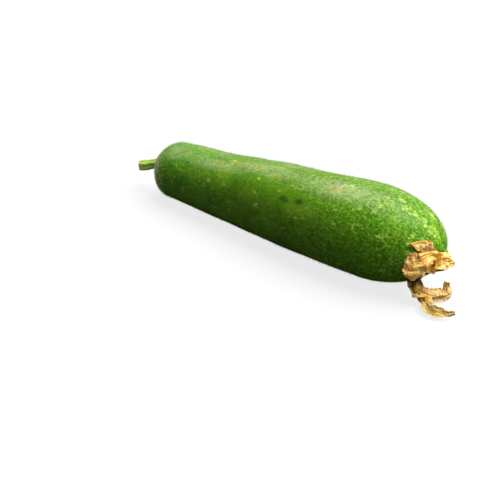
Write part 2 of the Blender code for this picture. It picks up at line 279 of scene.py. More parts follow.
class Shading(Graph):
    """The nodes of one material, around its Principled shader."""

    def __init__(self, name: str) -> None:
        """Makes the material with the given name."""
        self.material = bpy.data.materials.new(name)
        self.material.use_nodes = True
        super().__init__(self.material.node_tree)
        self.shader = self.tree.nodes["Principled BSDF"]

    def place(self) -> Socket:
        """Each point's place, in metres."""
        return self.add("ShaderNodeTexCoord").outputs["Object"]

    def number(self, name: str) -> Socket:
        """The number that the mesh keeps under a name."""
        return self.add("ShaderNodeAttribute", attribute_name=name).outputs["Fac"]

    def vector_of(self, name: str) -> Socket:
        """The vector that the mesh keeps under a name."""
        return self.add("ShaderNodeAttribute", attribute_name=name).outputs["Vector"]

    def parts(self, vector: Socket) -> tuple[Socket, Socket, Socket]:
        """The X, Y and Z of a vector."""
        return tuple(self.add("ShaderNodeSeparateXYZ", {0: vector}).outputs)

    def cloud(self, place: Source, wave: float, detail: float = 2.0, rough: float = 0.5) -> Socket:
        """Noise from 0 to 1.

        Args:
            place: Where it is read, in metres.
            wave: The width of one bump, in metres.
            detail: How many finer layers it has.
            rough: How strong the finer layers are.

        Returns:
            The noise.
        """
        inputs = {"Vector": place, "Scale": 1 / wave, "Detail": detail, "Roughness": rough}
        return self.add("ShaderNodeTexNoise", inputs).outputs["Fac"]

    def swing(self, pattern: Source, width: float) -> Socket:
        """A pattern from 0 to 1, as a swing of the given width about 0."""
        return self.times(self.math("SUBTRACT", pattern, 0.5), width)

    def between(self, value: Source, low: float, high: float) -> Socket:
        """Rises smoothly from 0 where the value is low to 1 where it is high."""
        inputs = {"Value": value, "From Min": low, "From Max": high}
        return self.add("ShaderNodeMapRange", inputs, interpolation_type="SMOOTHSTEP").outputs["Result"]

    def mix(self, share: Source, under: Source, over: Source) -> Socket:
        """Lays one colour over another, as strongly as share says."""
        return self.add("ShaderNodeMix", {0: share, 6: under, 7: over}, data_type="RGBA").outputs[2]

    def lay(
        self, under: Source, layer: Layer, pattern: Source, strength: Source | None = None
    ) -> Socket:
        """Lays a layer over a colour.

        Args:
            under: The colour.
            layer: The layer.
            pattern: The pattern that says where the layer shows.
            strength: How strongly it shows there, if not as the layer says.

        Returns:
            The new colour.
        """
        strength = layer.strength if strength is None else strength
        share = self.times(self.between(pattern, layer.low, layer.high), strength)
        return self.mix(share, under, layer.tint)

    def specks(self, place: Source, wave: float, size: float, share: float) -> Socket:
        """Round specks, each in a random cell of its own.

        Args:
            place: Where they are read, in metres.
            wave: The width of a cell, in metres.
            size: A speck's radius, as a share of its cell.
            share: How many of the cells have one, from 0 to 1.

        Returns:
            1 inside a speck, 0 outside.
        """
        cells = self.add("ShaderNodeTexVoronoi", {"Vector": place, "Scale": 1 / wave}).outputs
        inside = self.math("SUBTRACT", 1.0, self.between(cells["Distance"], size * 0.5, size))
        return self.times(inside, self.math("LESS_THAN", self.parts(cells["Color"])[0], share))

    def finish(
        self, colour: Source, roughness: Source, height: Source, depth: float, even: Inputs
    ) -> Material:
        """Joins the results to the shader.

        Args:
            colour: The surface's colour.
            roughness: Its roughness.
            height: The fine relief, from 0 to 1.
            depth: How high that relief stands, in metres.
            even: Further inputs of the shader, which are the same all over it.

        Returns:
            The finished material.
        """
        bump = self.add("ShaderNodeBump", {"Height": height, "Distance": depth, "Strength": 1.0})
        results = {"Normal": bump.outputs[0], "Base Color": colour, "Roughness": roughness}
        for name, value in (results | even).items():
            self.give(self.shader.inputs[name], value)
        return self.material


SHADE, NET = paint(26, 66, 4), paint(126, 164, 40)


@dataclass(frozen=True)
class SkinFinish:
    """The fruit's mottled skin: green, paler and more flecked towards the blossom end."""

    stem: Colour = paint(61, 112, 16)
    middle: Layer = Layer(paint(70, 111, 12), 0.12, 0.4)
    blossom: Layer = Layer(paint(72, 121, 13), 0.5, 0.9)
    dark_patches: Layer = Layer(SHADE, 0.5, 0.66, 0.45)
    pale_patches: Layer = Layer(NET, 0.47, 0.3, 0.22)
    dark_grain: Layer = Layer(SHADE, 0.5, 0.36)
    pale_grain: Layer = Layer(NET, 0.52, 0.68)
    grain_strengths: tuple[float, float] = (0.24, 0.66)
    flecks: Layer = Layer(paint(172, 196, 80), 0.86, 1.3, 0.8)
    # Pale waxy bloom, which along the lit top also stands for painted sheen.
    bloom_and_sheen: Layer = Layer(paint(148, 158, 112), 0.56, 1.2)
    scars: Layer = Layer(paint(168, 138, 72), 0.86, 1.2, 0.8)
    rust: Colour = paint(104, 66, 30)
    dark_spot: Colour = paint(18, 48, 8)
    stretch: tuple[float, float, float] = (0.7, 1.0, 1.0)
    drift: float = 0.35
    drift_width: float = 30 * MM
    patch_width: float = 12 * MM
    bloom_and_sheen_width: float = 6 * MM
    rust_width: float = 6 * MM
    sheen_width: float = 5 * MM
    grain_width: float = 1.5 * MM
    dust_width: float = 1.3 * MM
    pore_width: float = 0.8 * MM
    relief: float = 0.07 * MM

    def material(self, length: float) -> Material:
        """Makes the material.

        Args:
            length: The fruit's length, along which the skin changes.

        Returns:
            The material, which reads the skin's straightened places and its marks.
        """
        g = Shading("gourd_skin")
        place = g.vector_of("straight")
        laid = g.vector("MULTIPLY", place, self.stretch)
        along = g.math("DIVIDE", g.parts(place)[0], length)
        along = g.plus(along, g.swing(g.cloud(place, self.drift_width), self.drift))
        patches = g.cloud(laid, self.patch_width, 4.0, 0.6)
        grain = g.cloud(laid, self.grain_width)
        near_stem, near_blossom = self.grain_strengths
        to_blossom = g.between(along, self.blossom.low, self.blossom.high)
        mottle = g.plus(g.times(to_blossom, near_blossom - near_stem), near_stem)
        dust = g.times(g.cloud(laid, self.dust_width, 3.0, 0.75), 1.3)
        crumbs = g.times(g.cloud(place, self.grain_width, 3.0, 0.65), 0.9)
        film = g.plus(g.cloud(laid, self.bloom_and_sheen_width, 4.0, 0.7), crumbs)

        colour = g.lay(self.stem, self.middle, along)
        colour = g.lay(colour, self.blossom, along)
        colour = g.lay(colour, self.dark_patches, patches)
        colour = g.lay(colour, self.pale_patches, patches)
        colour = g.lay(colour, self.dark_grain, grain, mottle)
        colour = g.lay(colour, self.pale_grain, grain, mottle)
        colour = g.lay(colour, self.flecks, g.plus(g.number(Mark.FLECK.value), dust))
        # Waxy bloom and, along the lit top, painted sheen, where the marks say.
        colour = g.lay(colour, self.bloom_and_sheen, film, g.number(Mark.BLOOM.value))
        colour = g.lay(colour, self.scars, g.plus(g.number(Mark.SCAR.value), crumbs))
        rust = g.specks(place, self.rust_width, size=0.1, share=0.45)
        colour = g.mix(g.times(rust, 0.6), colour, self.rust)
        colour = g.mix(g.number(Mark.DARK_SPOT.value), colour, self.dark_spot)

        height = g.plus(grain, g.times(g.cloud(place, self.pore_width), 0.5))
        roughness = g.plus(0.42, g.times(g.cloud(place, self.sheen_width, 3.0), 0.18))
        even = {
            "Subsurface Weight": 0.05,
            "Subsurface Scale": 1.5 * MM,
            "Specular IOR Level": 0.08,
            "Sheen Weight": 0.1,
            "Sheen Roughness": 0.25,
            "Sheen Tint": (0.7, 1.0, 0.35, 1.0),
        }
        return g.finish(colour, roughness, height, self.relief, even)


@dataclass(frozen=True)
class HairFinish:
    """The short pale green hairs, palest on the stalk's shoulder."""

    deep: Colour = paint(104, 138, 38)
    light: Layer = Layer(paint(150, 176, 70), 0.35, 0.65)
    frost: Layer = Layer(paint(202, 218, 158), -112 * MM, -130 * MM, 0.7)
    tone_width: float = 9 * MM

    def material(self, name: str) -> Material:
        """Makes the material under a name."""
        g = Shading(name)
        place = g.place()
        tone = g.cloud(place, self.tone_width)
        colour = g.lay(g.lay(self.deep, self.light, tone), self.frost, g.parts(place)[0])
        return g.finish(colour, 0.5, tone, 0.01 * MM, {"Specular IOR Level": 0.2})


@dataclass(frozen=True)
class StalkFinish:
    """The stalk's green, ridged bark and its dried cut end."""

    green: Colour = paint(118, 152, 32)
    # The ridges are painted lighter and the grooves darker, as light and shade across the relief.
    ridge: Layer = Layer(paint(148, 180, 50), 0.45, 0.8)
    groove_shade: Layer = Layer(paint(94, 126, 22), 0.45, 0.15)
    streak: Layer = Layer(paint(148, 180, 50), 0.5, 0.68, 0.3)
    collar: Layer = Layer(paint(140, 136, 72), -146 * MM, -138 * MM, 0.65)
    cork: Layer = Layer(paint(172, 142, 78), 0.5, 0.9)
    burnt: Layer = Layer(paint(104, 66, 24), 0.5, 0.62, 0.8)
    heart: Layer = Layer(paint(196, 176, 118), 0.35, 0.6)
    blotch_width: float = 4 * MM
    burn_width: float = 2.4 * MM
    speck_width: float = 1.8 * MM
    streak_width: float = 0.9 * MM
    ring_width: float = 0.7 * MM
    relief: float = 0.12 * MM

    def material(self) -> Material:
        """Makes the material, which reads how high each point stands and how near the cut it is."""
        g = Shading("stalk_skin")
        place = g.place()
        height, cut, inside = g.parts(g.vector_of("form"))
        streaks = g.cloud(g.vector("MULTIPLY", place, (0.2, 1.0, 1.0)), self.streak_width, 3.0, 0.6)
        blotches = g.times(g.cloud(place, self.blotch_width, 3.0, 0.6), 8 * MM)
        near_cut = g.plus(cut, g.times(streaks, 0.5))
        burnt = g.times(g.between(near_cut, self.cork.low, self.cork.high), self.burnt.strength)

        # Painted light on the ridges and painted shade in the grooves.
        colour = g.lay(self.green, self.ridge, height)
        colour = g.lay(colour, self.groove_shade, height)
        colour = g.lay(colour, self.streak, streaks)
        colour = g.lay(colour, self.collar, g.plus(g.parts(place)[0], blotches))
        colour = g.lay(colour, self.cork, near_cut)
        colour = g.lay(colour, self.burnt, g.cloud(place, self.burn_width, 3.0, 0.6), burnt)
        colour = g.mix(g.specks(place, self.speck_width, size=0.2, share=0.15), colour, self.cork.tint)
        colour = g.lay(colour, self.heart, g.cloud(place, self.ring_width, 3.0, 0.7), inside)
        return g.finish(colour, 0.55, streaks, self.relief, {"Sheen Weight": 0.15})


@dataclass(frozen=True)
class PetalFinish:
    """A dry petal's colours: along it from root to tip, and from painted highlight on its folds' crests to
    painted shade in their depths.
    """

    name: str
    root: Colour
    body: Colour
    tip: Colour
    # crest is painted highlight on the folds' crests; depth is painted shade in their hollows, and the
    # stains' colour too.
    crest: Colour
    depth: Colour
    stain: float = 0.4
    root_ends: tuple[float, float] = (0.12, 0.42)
    tip_starts: tuple[float, float] = (0.6, 0.95)
    # Fold heights over which the painted shade and the painted highlight come in.
    shade_heights: tuple[float, float] = (0.44, 0.12)
    highlight_heights: tuple[float, float] = (0.52, 0.86)
    stain_range: tuple[float, float] = (0.62, 0.72)
    margin: Layer = Layer(paint(232, 200, 120), 0.9, 1.0)
    vein: Colour = paint(140, 86, 24)
    tone_width: float = 5 * MM
    stain_width: float = 3.2 * MM
    grain_width: float = 0.8 * MM
    fibre_length: float = 0.3
    fibres_across: float = 5.0
    relief: float = 0.2 * MM

    def material(self) -> Material:
        """Makes the material, which reads the petal's own length, width, painted fold light and veins."""
        g = Shading("petal_" + self.name)
        along, across, fold = g.parts(g.vector_of("leaf"))
        place = g.place()
        tone = g.cloud(place, self.tone_width, 4.0, 0.6)
        laid = g.add("ShaderNodeCombineXYZ", {0: along, 1: g.times(across, self.fibres_across)})
        fibres = g.cloud(laid.outputs[0], self.fibre_length)
        stains = g.cloud(place, self.stain_width, 3.0, 0.6)
        shifted = g.plus(along, g.swing(tone, 0.4))
        past_root = g.between(shifted, *self.root_ends)
        height = g.plus(g.plus(fold, g.swing(tone, 0.5)), g.swing(fibres, 0.25))
        lit = g.math("MULTIPLY_ADD", past_root, 0.8, 0.05)
        veined = g.times(g.between(tone, 0.4, 0.6), 0.55)

        colour = g.mix(past_root, self.root, self.body)
        colour = g.mix(g.between(shifted, *self.tip_starts), colour, self.tip)
        # Painted shade in the folds' hollows and painted highlight on their crests, both weaker near the
        # root.
        colour = g.lay(colour, Layer(self.depth, *self.shade_heights), height, past_root)
        colour = g.lay(colour, Layer(self.crest, *self.highlight_heights), height, lit)
        colour = g.mix(g.times(g.number("vein"), veined), colour, self.vein)
        colour = g.lay(colour, Layer(self.depth, *self.stain_range, self.stain), stains)
        from_middle = g.math("ABSOLUTE", across)
        colour = g.lay(colour, self.margin, from_middle, g.times(past_root, 0.3))
        relief = g.plus(g.times(fibres, 0.4), g.cloud(place, self.grain_width, 3.0, 0.6))
        even = {
            "Subsurface Weight": 0.4,
            "Subsurface Radius": (1.0, 0.75, 0.4),
            "Subsurface Scale": 2 * MM,
            "Specular IOR Level": 0.15,
        }
        return g.finish(colour, 0.7, relief, self.relief, even)


@dataclass
class Fruit:
    """The fruit: a turned club, bowed along its middle line, with shallow lobes and a flat belly."""

    length: float = 278 * MM
    radii: tuple[float, ...] = (22.9, 25.5, 26.9, 29.4, 31.9, 33.2, 34.9, 35.1, 35.4)
    stalk_rounding: float = 18.6 * MM
    blossom_rounding: float = 56.8 * MM
    stalk_seat: float = 0.9 * MM
    flower_seat: float = 0.35 * MM
    bow: float = 3.6 * MM
    sway: float = 4.2 * MM
    end_lift: float = 2 * MM
    belly_flat: float = 0.5 * MM
    lobes: int = 5
    lobe_height: float = 0.25 * MM
    rings: int = 380
    sides: int = 240
    even_share: float = 0.25
    swell: float = 0.35 * MM
    swell_width: float = 24 * MM
    dimple: float = 0.1 * MM
    dimple_width: float = 5 * MM
    down_fades: tuple[float, float] = (6 * MM, 26 * MM)

    def full_radius(self, station: Array) -> Array:
        """The radius at a distance from the stalk end, before the ends are rounded."""
        return smooth_through(np.array(self.radii) * MM, station / self.length)

    def radius(self, station: Array) -> Array:
        """The radius at a distance from the stalk end, with both ends rounded off."""
        from_stalk = np.clip(1 - station / self.stalk_rounding, 0, 1)
        from_blossom = np.clip(1 - (self.length - station) / self.blossom_rounding, 0, 1)
        return self.full_radius(station) * np.sqrt(1 - from_stalk**2) * np.sqrt(1 - from_blossom**2)

    def middle(self, station: Array) -> Array:
        """The middle line at a distance from the stalk end."""
        v = 2 * station / self.length - 1
        rise = self.full_radius(station) + self.end_lift * v**2 - self.belly_flat
        return np.stack([v * self.length / 2, self.bow * v**2 + self.sway * (v**3 - v), rise], axis=-1)

    def directions(self, station: Array) -> tuple[Array, Array]:
        """The level direction across the middle line, and the one square to both."""
        step = 1 * MM
        ahead = unit(self.middle(station + step) - self.middle(station - step))
        across = unit(np.cross([0.0, 0.0, 1.0], ahead))
        return across, np.cross(ahead, across)

    def surface(self, station: Array, angle: Array, relief: Array) -> Array:
        """Points on the skin.

        Args:
            station: Distance from the stalk end.
            angle: Angle round the middle line, 0 at +Y and a quarter turn at the top.
            relief: How far the skin stands out beyond its plain form.

        Returns:
            The points, none of them below the ground.
        """
        across, square = self.directions(station)
        radius = self.radius(station)
        fullness = np.minimum(1, radius / (self.radii[0] * MM))
        radius = radius + (self.lobe_height * np.cos(self.lobes * angle) + relief) * fullness
        out = np.cos(angle)[..., None] * across + np.sin(angle)[..., None] * square
        points = self.middle(station) + radius[..., None] * out
        points[..., 2] = np.maximum(points[..., 2], 0)
        return points

    def build(self) -> Object:
        """Makes the skin, with its straightened places, marks and hairiness kept on it.

        Returns:
            The skin.
        """
        share = np.linspace(0, 1, self.rings + 1)
        share = self.even_share * share + (1 - self.even_share) * (0.5 - 0.5 * np.cos(pi * share))
        first, last = self.stalk_seat, self.length - self.flower_seat
        station, angle = np.meshgrid(
            first + (last - first) * share, np.linspace(0, 2 * pi, self.sides, endpoint=False), indexing="ij"
        )
        radius = self.radius(station)
        straight = np.stack([station, radius * np.cos(angle), radius * np.sin(angle)], axis=-1)
        relief = self.swell * rumple(straight, self.swell_width, 3.1)
        relief = relief + self.dimple * rumple(straight, self.dimple_width, 8.7, 3)
        mesh = closed_tube("gourd_skin", self.surface(station, angle, relief))

        ends = np.array([[first, 0, 0], [last, 0, 0]])
        marks, hairiness = Marks(self).paint(station, angle, straight)
        shoulder = 1 - eased(station, *self.down_fades)
        store(mesh, "straight", np.vstack([straight.reshape(-1, 3), ends]))
        for kind, strength in marks.items():
            store(mesh, kind.value, np.append(strength.ravel(), [0, 0]))
        store(mesh, "hairiness", np.append(hairiness.ravel(), [0, 0]))
        store(mesh, "shoulder", np.append((shoulder * hairiness).ravel(), [0, 0]))
        skin = piece("gourd_skin", mesh, SkinFinish().material(self.length))
        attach(skin, "root")
        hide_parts("gourd_fruit")
        report(skin)
        return skin


class Mark(Enum):
    """What a mark on the skin is, by the name under which the mesh keeps it."""

    SCAR = "scar"
    DARK_SPOT = "dark_spot"
    BLOOM = "bloom_and_sheen"
    FLECK = "fleck"


@dataclass(frozen=True)
class Blemish:
    """A mark on the skin.

    It lies at a share of the fruit's length and at an angle round it, and is turned by its tilt.
    Lengths are in millimetres and angles in degrees.
    """

    kind: Mark
    along: float
    around: float
    long: float
    wide: float
    strength: float = 1.0
    tilt: float = 0.0


# The marks that show in the picture, each by the numbers that a blemish takes after its kind.
SEEN_MARKS = {
    Mark.BLOOM: (
        # The rows along the lit top, from 78° to 122°, paint a pale sheen there over the bloom; the last two
        # are bloom alone on the sides.
        (0.10, 112, 30, 13, 0.5),
        (0.27, 118, 46, 9, 0.5),
        (0.47, 104, 60, 11, 0.6),
        (0.74, 110, 56, 13, 0.75),
        (0.87, 122, 24, 8, 0.15),
        (0.22, 80, 70, 14, 0.45),
        (0.50, 78, 70, 14, 0.4),
        (0.78, 78, 60, 14, 0.3),
        (0.64, 290, 70, 14, 0.6),
        (0.30, 20, 60, 14, 0.6),
    ),
    Mark.SCAR: (
        (0.330, 101, 3.6, 1.8, 0.9),
        (0.320, 137, 5.5, 3.4, 0.55),
        (0.145, 117, 2.6, 1.6, 0.6),
        (0.233, 154, 3.4, 2.2, 0.5),
        (0.252, 160, 2.6, 3.2, 0.5),
        (0.29, 116, 20, 8, 0.5),
        (0.36, 106, 22, 8, 0.5),
        (0.24, 143, 10, 5, 0.47),
        (0.71, 113, 20, 7, 0.51),
        (0.43, 110, 20, 8, 0.5),
        (0.52, 118, 14, 7, 0.48),
        (0.76, 124, 9, 3, 0.5),
        (0.75, 107, 8, 3, 0.4),
    ),
    Mark.DARK_SPOT: (
        # Small dark green spots, a thin dark scratch and two larger soft dark blotches on the upper side.
        (0.167, 131, 1.6, 1.6, 0.7),
        (0.108, 123, 1.4, 1.1, 0.6),
        (0.626, 142, 4.6, 3.6, 0.85),
        (0.579, 145, 5.2, 3.2, 0.75),
        (0.48, 108, 1.5, 1.2, 0.6),
        (0.69, 104, 1.4, 1.2, 0.6),
        (0.125, 113, 7, 0.9, 0.5, -38),
    ),
    Mark.FLECK: (
        (0.13, 143, 3.0, 1.2, 0.42),
        (0.16, 148, 2.4, 1.6, 0.42),
        (0.28, 151, 4.5, 2.0, 0.4),
        (0.35, 149, 4.5, 2.4, 0.4),
        (0.883, 96, 3.6, 1.7, 0.5),
        (0.906, 105, 4.2, 1.6, 0.5),
        (0.928, 107, 3.4, 2.0, 0.52),
        (0.953, 107, 2.6, 2.6, 0.5),
        (0.955, 142, 3.0, 1.8, 0.45),
        (0.972, 117, 2.2, 2.8, 0.5),
        (0.662, 88, 2.4, 2.0, 0.5),
        (0.725, 106, 2.6, 2.2, 0.5),
        (0.847, 119, 4.2, 2.6, 0.45),
    ),
}


@dataclass
class Marks:
    """Where the skin is scarred, darkly spotted, flecked or waxy, with painted sheen along its lit top, and
    where its hairs are thick.

    A few crumbs lie round each fleck that shows in the picture. Sizes and lengths without MM
    are in millimetres, and turns are in degrees.
    """

    fruit: Fruit
    seen: tuple[Blemish, ...] = tuple(
        Blemish(kind, *numbers) for kind, rows in SEEN_MARKS.items() for numbers in rows
    )
    crumbs: int = 6
    crumb_reach: float = 4.5
    crumb_turn: float = 6
    crumb_sizes: tuple[float, float] = (0.8, 1.5)
    strewn_scars: int = 60
    scar_sizes: tuple[float, float] = (1, 3)
    scar_strengths: tuple[float, float] = (0.25, 0.5)
    strewn_flecks: int = 300
    fleck_sizes: tuple[float, float] = (1.4, 3.2)
    fleck_strengths: tuple[float, float] = (0.2, 0.5)
    wobble: float = 0.3
    wobble_widths: tuple[float, float] = (4 * MM, 1.6 * MM)
    soft_edge: tuple[float, float] = (0.2, 1.15)
    tuft_width: float = 16 * MM
    thicket_fades: tuple[float, float] = (4 * MM, 30 * MM)
    bare_belly: tuple[float, float] = (2 * MM, 4 * MM)
    seed: int = 11

    def everywhere(self) -> list[Blemish]:
        """The marks that show in the picture, with small scars and pale flecks strewn all round."""
        random = np.random.default_rng(self.seed)
        marks = list(self.seen)
        for mark in self.seen:
            if mark.kind is Mark.FLECK:
                for _ in range(self.crumbs):
                    shift = random.uniform(-self.crumb_reach, self.crumb_reach)
                    along = mark.along + shift * MM / self.fruit.length
                    around = mark.around + random.uniform(-self.crumb_turn, self.crumb_turn)
                    size = random.uniform(*self.crumb_sizes)
                    marks.append(Blemish(Mark.FLECK, along, around, 1.6 * size, size, mark.strength))
        for _ in range(self.strewn_scars):
            along, around = random.uniform(0.08, 0.95), random.uniform(0, 360)
            size, strength = random.uniform(*self.scar_sizes), random.uniform(*self.scar_strengths)
            marks.append(Blemish(Mark.SCAR, along, around, size * random.uniform(1, 2.5), size, strength))
        for _ in range(self.strewn_flecks):
            along, around = random.uniform(0.04, 0.99) ** 0.6, random.uniform(0, 360)
            size = random.uniform(*self.fleck_sizes)
            strength = random.uniform(*self.fleck_strengths) * (0.6 + 0.5 * along)
            tilt, long = random.uniform(-30, 30), size * random.uniform(1, 2.6)
            marks.append(Blemish(Mark.FLECK, along, around, long, size, strength, tilt))
        return marks

    def paint(
        self, station: Array, angle: Array, straight: Array
    ) -> tuple[dict[Mark, Array], Array]:
        """Paints every mark.

        Args:
            station: Each point's distance from the stalk end.
            angle: Its angle round the middle line.
            straight: Its place on the straightened fruit.

        Returns:
            The strength of each kind of mark, and how thick the hairs stand.
        """
        marks = {kind: np.zeros_like(station) for kind in Mark}
        coarse, fine = self.wobble_widths
        wobble = self.wobble * rumple(straight, coarse, 5.3)
        wobble = wobble + self.wobble * rumple(straight, fine, 9.1, 2)
        radius = self.fruit.radius(station)
        for blemish in self.everywhere():
            ahead = station - blemish.along * self.fruit.length
            turn = np.remainder(angle - radians(blemish.around) + pi, 2 * pi) - pi
            beside = turn * radius
            tilt = radians(blemish.tilt)
            length = (ahead * np.cos(tilt) + beside * np.sin(tilt)) / (blemish.long * MM)
            width = (beside * np.cos(tilt) - ahead * np.sin(tilt)) / (blemish.wide * MM)
            distance = np.hypot(length, width) + wobble
            strength = marks[blemish.kind]
            shown = blemish.strength * (1 - eased(distance, *self.soft_edge))
            np.maximum(strength, shown, out=strength)
        tufts = rumple(straight, self.tuft_width, 1.7)
        shoulder = 1 - eased(station, *self.thicket_fades)
        hairiness = np.clip(0.5 + 0.3 * tufts - 0.3 * marks[Mark.SCAR] + 0.5 * shoulder, 0.1, 1)
        height = self.fruit.surface(station, angle, 0 * station)[..., 2]
        return marks, hairiness * eased(height, *self.bare_belly)


@dataclass(frozen=True)
class Coat:
    """A coat of short straight hairs, grown on a piece."""

    density: float
    length: float
    thickness: float
    lean: float = 0.35
    spread: float = 0.55
    grows_by: str = "hairiness"
    shortest: float = 0.45
    longest: float = 1.3
    seed: int = 4

    def tree(self) -> bpy.types.NodeTree:
        """Builds the tree that grows the hairs.

        Returns:
            The tree, whose inputs are the coat's sizes, its seed and its material.
        """
        tree = bpy.data.node_groups.new("hair_coat", "GeometryNodeTree")
        numbers = dict.fromkeys(("Density", "Length", "Thickness", "Lean", "Spread"), "Float")
        kinds = {"Skin": "Geometry", **numbers, "Seed": "Int", "Material": "Material"}
        for name, kind in kinds.items():
            tree.interface.new_socket(name, in_out="INPUT", socket_type="NodeSocket" + kind)
        tree.interface.new_socket("Hairs", in_out="OUTPUT", socket_type="NodeSocketGeometry")
        g = Graph(tree)
        given = g.add("NodeGroupInput").outputs
        hairiness = g.add("GeometryNodeInputNamedAttribute", {"Name": self.grows_by}, data_type="FLOAT")
        density = g.times(given["Density"], hairiness.outputs["Attribute"])
        inputs = {"Mesh": given["Skin"], "Density": density, "Seed": given["Seed"]}
        roots = g.add("GeometryNodeDistributePointsOnFaces", inputs).outputs
        inputs = {"Min": (-1, -1, -1), "Max": (1, 1, 1), "Seed": given["Seed"]}
        scatter = g.add("FunctionNodeRandomValue", inputs, data_type="FLOAT_VECTOR").outputs[0]
        inputs = {0: scatter, "Scale": given["Spread"]}
        sideways = g.add("ShaderNodeVectorMath", inputs, operation="SCALE").outputs[0]
        leaning = g.add("ShaderNodeCombineXYZ", {0: given["Lean"]}).outputs[0]
        way = g.vector("ADD", g.vector("ADD", roots["Normal"], sideways), leaning)
        turned = g.add("FunctionNodeAlignRotationToVector", {"Vector": way}, axis="Z").outputs[0]
        inputs = {"Min": self.shortest, "Max": self.longest, "Seed": given["Seed"]}
        share = g.add("FunctionNodeRandomValue", inputs, data_type="FLOAT").outputs[1]
        inputs = {0: given["Thickness"], 1: given["Thickness"], 2: g.times(given["Length"], share)}
        scale = g.add("ShaderNodeCombineXYZ", inputs).outputs[0]
        inputs = {"Vertices": 3, "Radius Top": 0.0, "Radius Bottom": 1.0, "Depth": 1.0}
        sliver = g.add("GeometryNodeMeshCone", inputs, fill_type="NGON").outputs["Mesh"]
        inputs = {"Points": roots["Points"], "Instance": sliver, "Rotation": turned, "Scale": scale}
        hairs = g.add("GeometryNodeInstanceOnPoints", inputs).outputs[0]
        real = g.add("GeometryNodeRealizeInstances", {0: hairs}).outputs[0]
        inputs = {"Geometry": real, "Material": given["Material"]}
        dressed = g.add("GeometryNodeSetMaterial", inputs).outputs[0]
        g.add("NodeGroupOutput", {"Hairs": dressed})
        return tree

    def grow(self, skin: Object, name: str) -> Object:
        """Grows the coat on a piece, as a piece of its own.

        Args:
            skin: The piece that the hairs stand on, which keeps a hairiness.
            name: The new piece's name.

        Returns:
            The hairs.
        """
        finish = HairFinish().material(name)
        coat = piece(name, skin.data.copy(), finish)
        tree = self.tree()
        grower = coat.modifiers.new("Hairs", "NODES")
        grower.node_group = tree
        values = {
            "Density": self.density,
            "Length": self.length,
            "Thickness": self.thickness,
            "Lean": self.lean,
            "Spread": self.spread,
            "Seed": self.seed,
            "Material": finish,
        }
        for socket in tree.interface.items_tree:
            if socket.in_out == "INPUT" and socket.name in values:
                grower[socket.identifier] = values[socket.name]
        work_in_modifiers(coat)
        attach(coat, "root")
        report(coat)
        return coat


def bent_directions(path: Array, share: Array) -> tuple[Array, Array, Array]:
    """Points of a smooth path, with the level direction across it and the one square to both.

    Args:
        path: The path's points.
        share: Where to read it, from 0 to 1.

    Returns:
        The points and the two directions at them. The first point's directions are square to X.
    """
    step = 0.01
    low = np.clip(share - step, 0, 1 - 2 * step)
    ahead = unit(smooth_through(path, low + 2 * step) - smooth_through(path, low))
    ahead[share == 0] = [np.sign(path[1][0]), 0, 0]
    across = unit(np.cross(np.cross(ahead, [0.0, 1.0, 0.0]), ahead))
    return smooth_through(path, share), across, np.cross(ahead, across)


